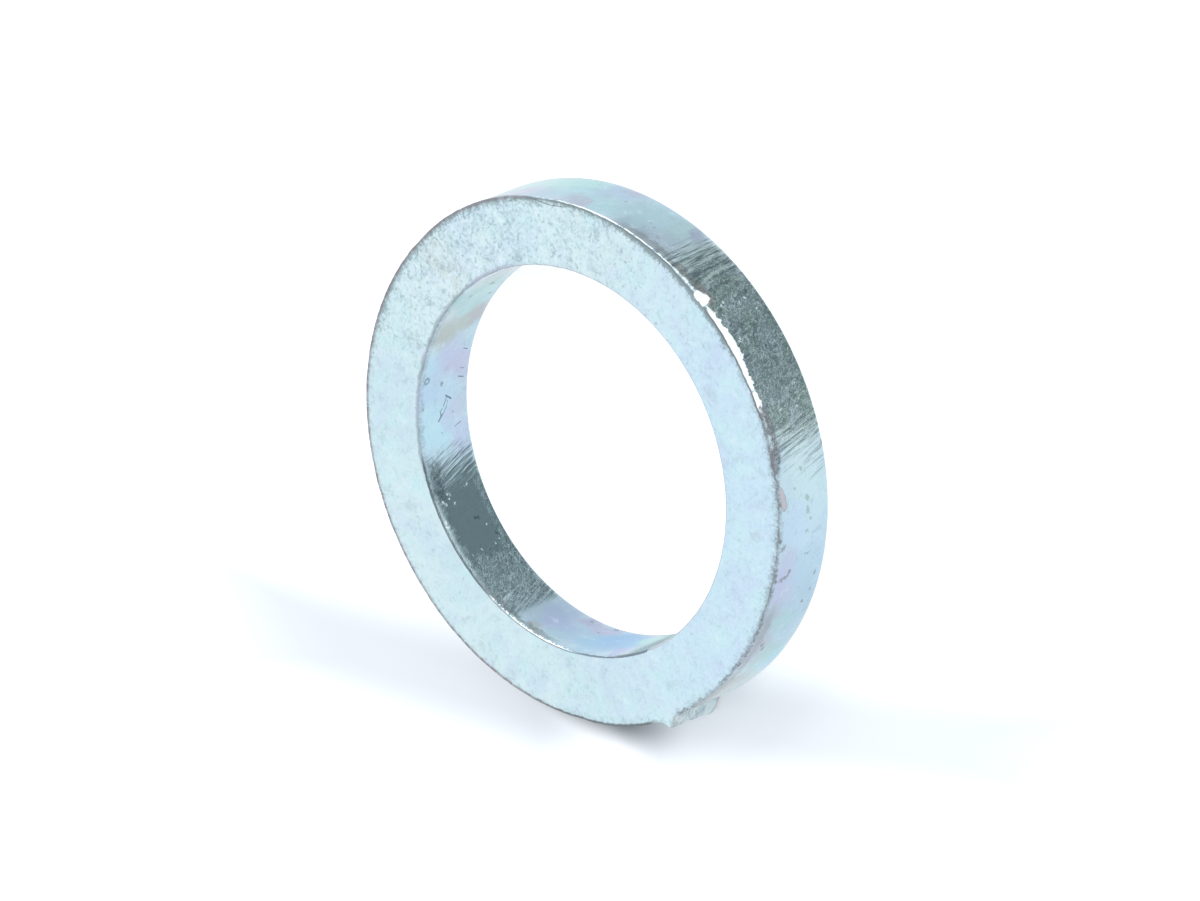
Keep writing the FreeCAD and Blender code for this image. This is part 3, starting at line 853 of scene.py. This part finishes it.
FLOOR_SIZE = 6.0                # metres
FLOOR_GREY = (0.48, 0.525, 0.575, 1.0)
CONTACT_SHADOW_GREY = (0.13, 0.16, 0.18, 1.0)
CONTACT_MIDDLE = (-4.4, -2.6, 0.0)
CONTACT_DEPTH = 0.93            # how much of the board's own light is gone at the contact
SHADOW_GLOW = 0.27              # what the camera sees of the board's own light in the shadow
BOARD_GLOW = 0.42               # and how much more elsewhere
BLACK = (0.0, 0.0, 0.0, 1.0)
WHITE = (1.0, 1.0, 1.0, 1.0)


def white_board():
    """White to the camera with a shadow at the lower side, partly painted in its glow, a painted dark
    contact shadow, and clear to reflections.
    """
    material = bpy.data.materials.new("white_board")
    material.use_nodes = True
    tree = material.node_tree
    tree.nodes.clear()
    start = Signal(tree)
    path = start.node("LightPath", {}, {})
    glossy = Signal(tree, path.socket.node.outputs["Is Glossy Ray"])
    camera = Signal(tree, path.socket.node.outputs["Is Camera Ray"])
    place = start.node("TexCoord", {}, {}, 3).stretched(1.0 / MM, 1.0 / MM, 0.0)
    out = place.vector("LENGTH", output=1)
    east = start.node("SeparateXYZ", {}, {0: place})
    north = Signal(tree, east.socket.node.outputs[1])
    # Painted shadow lobes to the right and left below the washer, where the board's glow drops
    right_shadow_lobe = (north - east * 0.17 + 19.6).size().rise(1.0, 7.0) + east.rise(4.0, -2.0)
    left_shadow_lobe = (north - east * 0.02 + 21.6).size().rise(1.0, 7.0) + east.rise(-8.0, 0.0)
    far_off = out.rise(34.0, 58.0)
    in_hole = out.rise(BORE_RADIUS + 2.0, BORE_RADIUS)
    fill = right_shadow_lobe.least(1.0) * left_shadow_lobe.least(1.0)
    fill = fill.most(in_hole).most(far_off)
    # A painted contact shadow: a darker board with less glow where the washer meets it
    gap = place.far_from(CONTACT_MIDDLE) - RIM_RADIUS
    painted_contact_shadow = (gap - east * 0.2).rise(2.3, -0.2) * east.between(-8.0, 3.5, 3.5) * north.rise(-14.5, -18.0)
    lifted = east.rise(2.0, 9.0) * north.rise(-8.0, -14.0, 0.06)
    tone = painted_contact_shadow.mixed(FLOOR_GREY, CONTACT_SHADOW_GREY)
    level = camera * (SHADOW_GLOW + BOARD_GLOW * fill + lifted) * (1.0 - CONTACT_DEPTH * painted_contact_shadow)
    lit = start.node("BsdfPrincipled", {}, {
        "Base Color": tone, "Roughness": 1.0, "Specular IOR Level": 0.0,
        "Emission Color": level.mixed(BLACK, WHITE), "Emission Strength": 1.0})
    clear = start.node("BsdfTransparent", {}, {})
    shown = start.node("MixShader", {}, {0: glossy, 1: lit, 2: clear})
    start.node("OutputMaterial", {}, {"Surface": shown})
    return material


floor_mesh = bpy.data.meshes.new("floor")
half_floor = FLOOR_SIZE / 2.0
floor_mesh.from_pydata([(-half_floor, -half_floor, 0.0), (half_floor, -half_floor, 0.0),
                        (half_floor, half_floor, 0.0), (-half_floor, half_floor, 0.0)], [], [(0, 1, 2, 3)])
floor = bpy.data.objects.new("floor", floor_mesh)
bpy.context.scene.collection.objects.link(floor)
floor_mesh.materials.append(white_board())

# The studio: soft even light all round, with one dark screen low on the far right and a grey one beside it.
# The rim and the bore reflect the dark screen as their dark zones.

SCREEN_AZIMUTH = (5.0, 97.0)
SCREEN_ELEVATION = (-84.0, -27.0)
SCREEN_DARK = (0.216, 0.253, 0.268, 1.0)
ROOM_WHITE = (0.97, 0.985, 1.0, 1.0)
ROOM_GREY = (0.62, 0.66, 0.70, 1.0)
ROOM_FILL = (0.90, 0.90, 0.91, 1.0)


def studio_world():
    """White to the camera, even to diffuse light, and a room with dark screens to reflections."""
    world = bpy.data.worlds.new("studio")
    bpy.context.scene.world = world
    world.use_nodes = True
    tree = world.node_tree
    tree.nodes.clear()
    start = Signal(tree)
    path = start.node("LightPath", {}, {})
    camera = Signal(tree, path.socket.node.outputs["Is Camera Ray"])
    glossy = Signal(tree, path.socket.node.outputs["Is Glossy Ray"])
    east = start.node("SeparateXYZ", {}, {0: start.node("TexCoord", {}, {}, 0)})
    north = Signal(tree, east.socket.node.outputs[1])
    high = Signal(tree, east.socket.node.outputs[2])
    azimuth = north.math("ARCTAN2", north, east) * math.degrees(1.0)
    elevation = high.math("ARCSINE", high) * math.degrees(1.0)
    low = elevation.between(*SCREEN_ELEVATION, 5.0)
    dark = azimuth.between(*SCREEN_AZIMUTH, 4.0) * low
    grey = azimuth.between(60.0, 140.0, 12.0) * elevation.rise(-20.0, -30.0)
    room = (grey * 0.1).mixed(ROOM_WHITE, ROOM_GREY)
    room = dark.mixed(room, SCREEN_DARK)
    seen = glossy.mixed(ROOM_FILL, room)
    seen = camera.mixed(seen, WHITE)
    background = start.node("Background", {}, {"Color": seen, "Strength": 1.0})
    start.node("OutputWorld", {}, {"Surface": background})


studio_world()


# Name, azimuth and elevation, distance and size in metres, and power in watts
LAMPS = (("right_softbox", 42.0, 27.0, 0.70, 0.40, 2.2), ("left_softbox", 116.0, 36.0, 0.70, 0.36, 1.8))


def soft_lamp(name, azimuth, elevation, distance, size, power):
    """A square soft lamp that faces the washer."""
    light = bpy.data.lights.new(name, "AREA")
    light.shape = "SQUARE"
    light.size = size
    light.energy = power
    lamp = bpy.data.objects.new(name, light)
    around = math.radians(azimuth)
    up = math.radians(elevation)
    direction = Vector((math.cos(around) * math.cos(up), math.sin(around) * math.cos(up), math.sin(up)))
    lamp.location = direction * distance
    lamp.rotation_euler = direction.to_track_quat("Z", "Y").to_euler()
    bpy.context.scene.collection.objects.link(lamp)


for lamp_values in LAMPS:
    soft_lamp(*lamp_values)

# The camera: a long lens, turned and raised as the photograph sees the ring.

LENS_MM = 289.8
SENSOR_MM = 36.0
CAMERA_TILT = -21.296
CAMERA_TURN = 40.895
CAMERA_DISTANCE = 0.66812       # metres
CAMERA_AIM = Vector((0.566, 0.246, 2.55)) * MM

camera_data = bpy.data.cameras.new("camera")
camera_data.lens = LENS_MM
camera_data.sensor_width = SENSOR_MM
camera_data.clip_start = 0.01
camera = bpy.data.objects.new("camera", camera_data)
camera_turn = Euler((math.radians(CAMERA_TILT), math.radians(CAMERA_TURN), 0.0))
camera.rotation_euler = camera_turn
camera.location = CAMERA_AIM + camera_turn.to_matrix() @ Vector((0.0, 0.0, CAMERA_DISTANCE))
bpy.context.scene.collection.objects.link(camera)
bpy.context.scene.camera = camera
bpy.context.scene.view_settings.view_transform = "Standard"
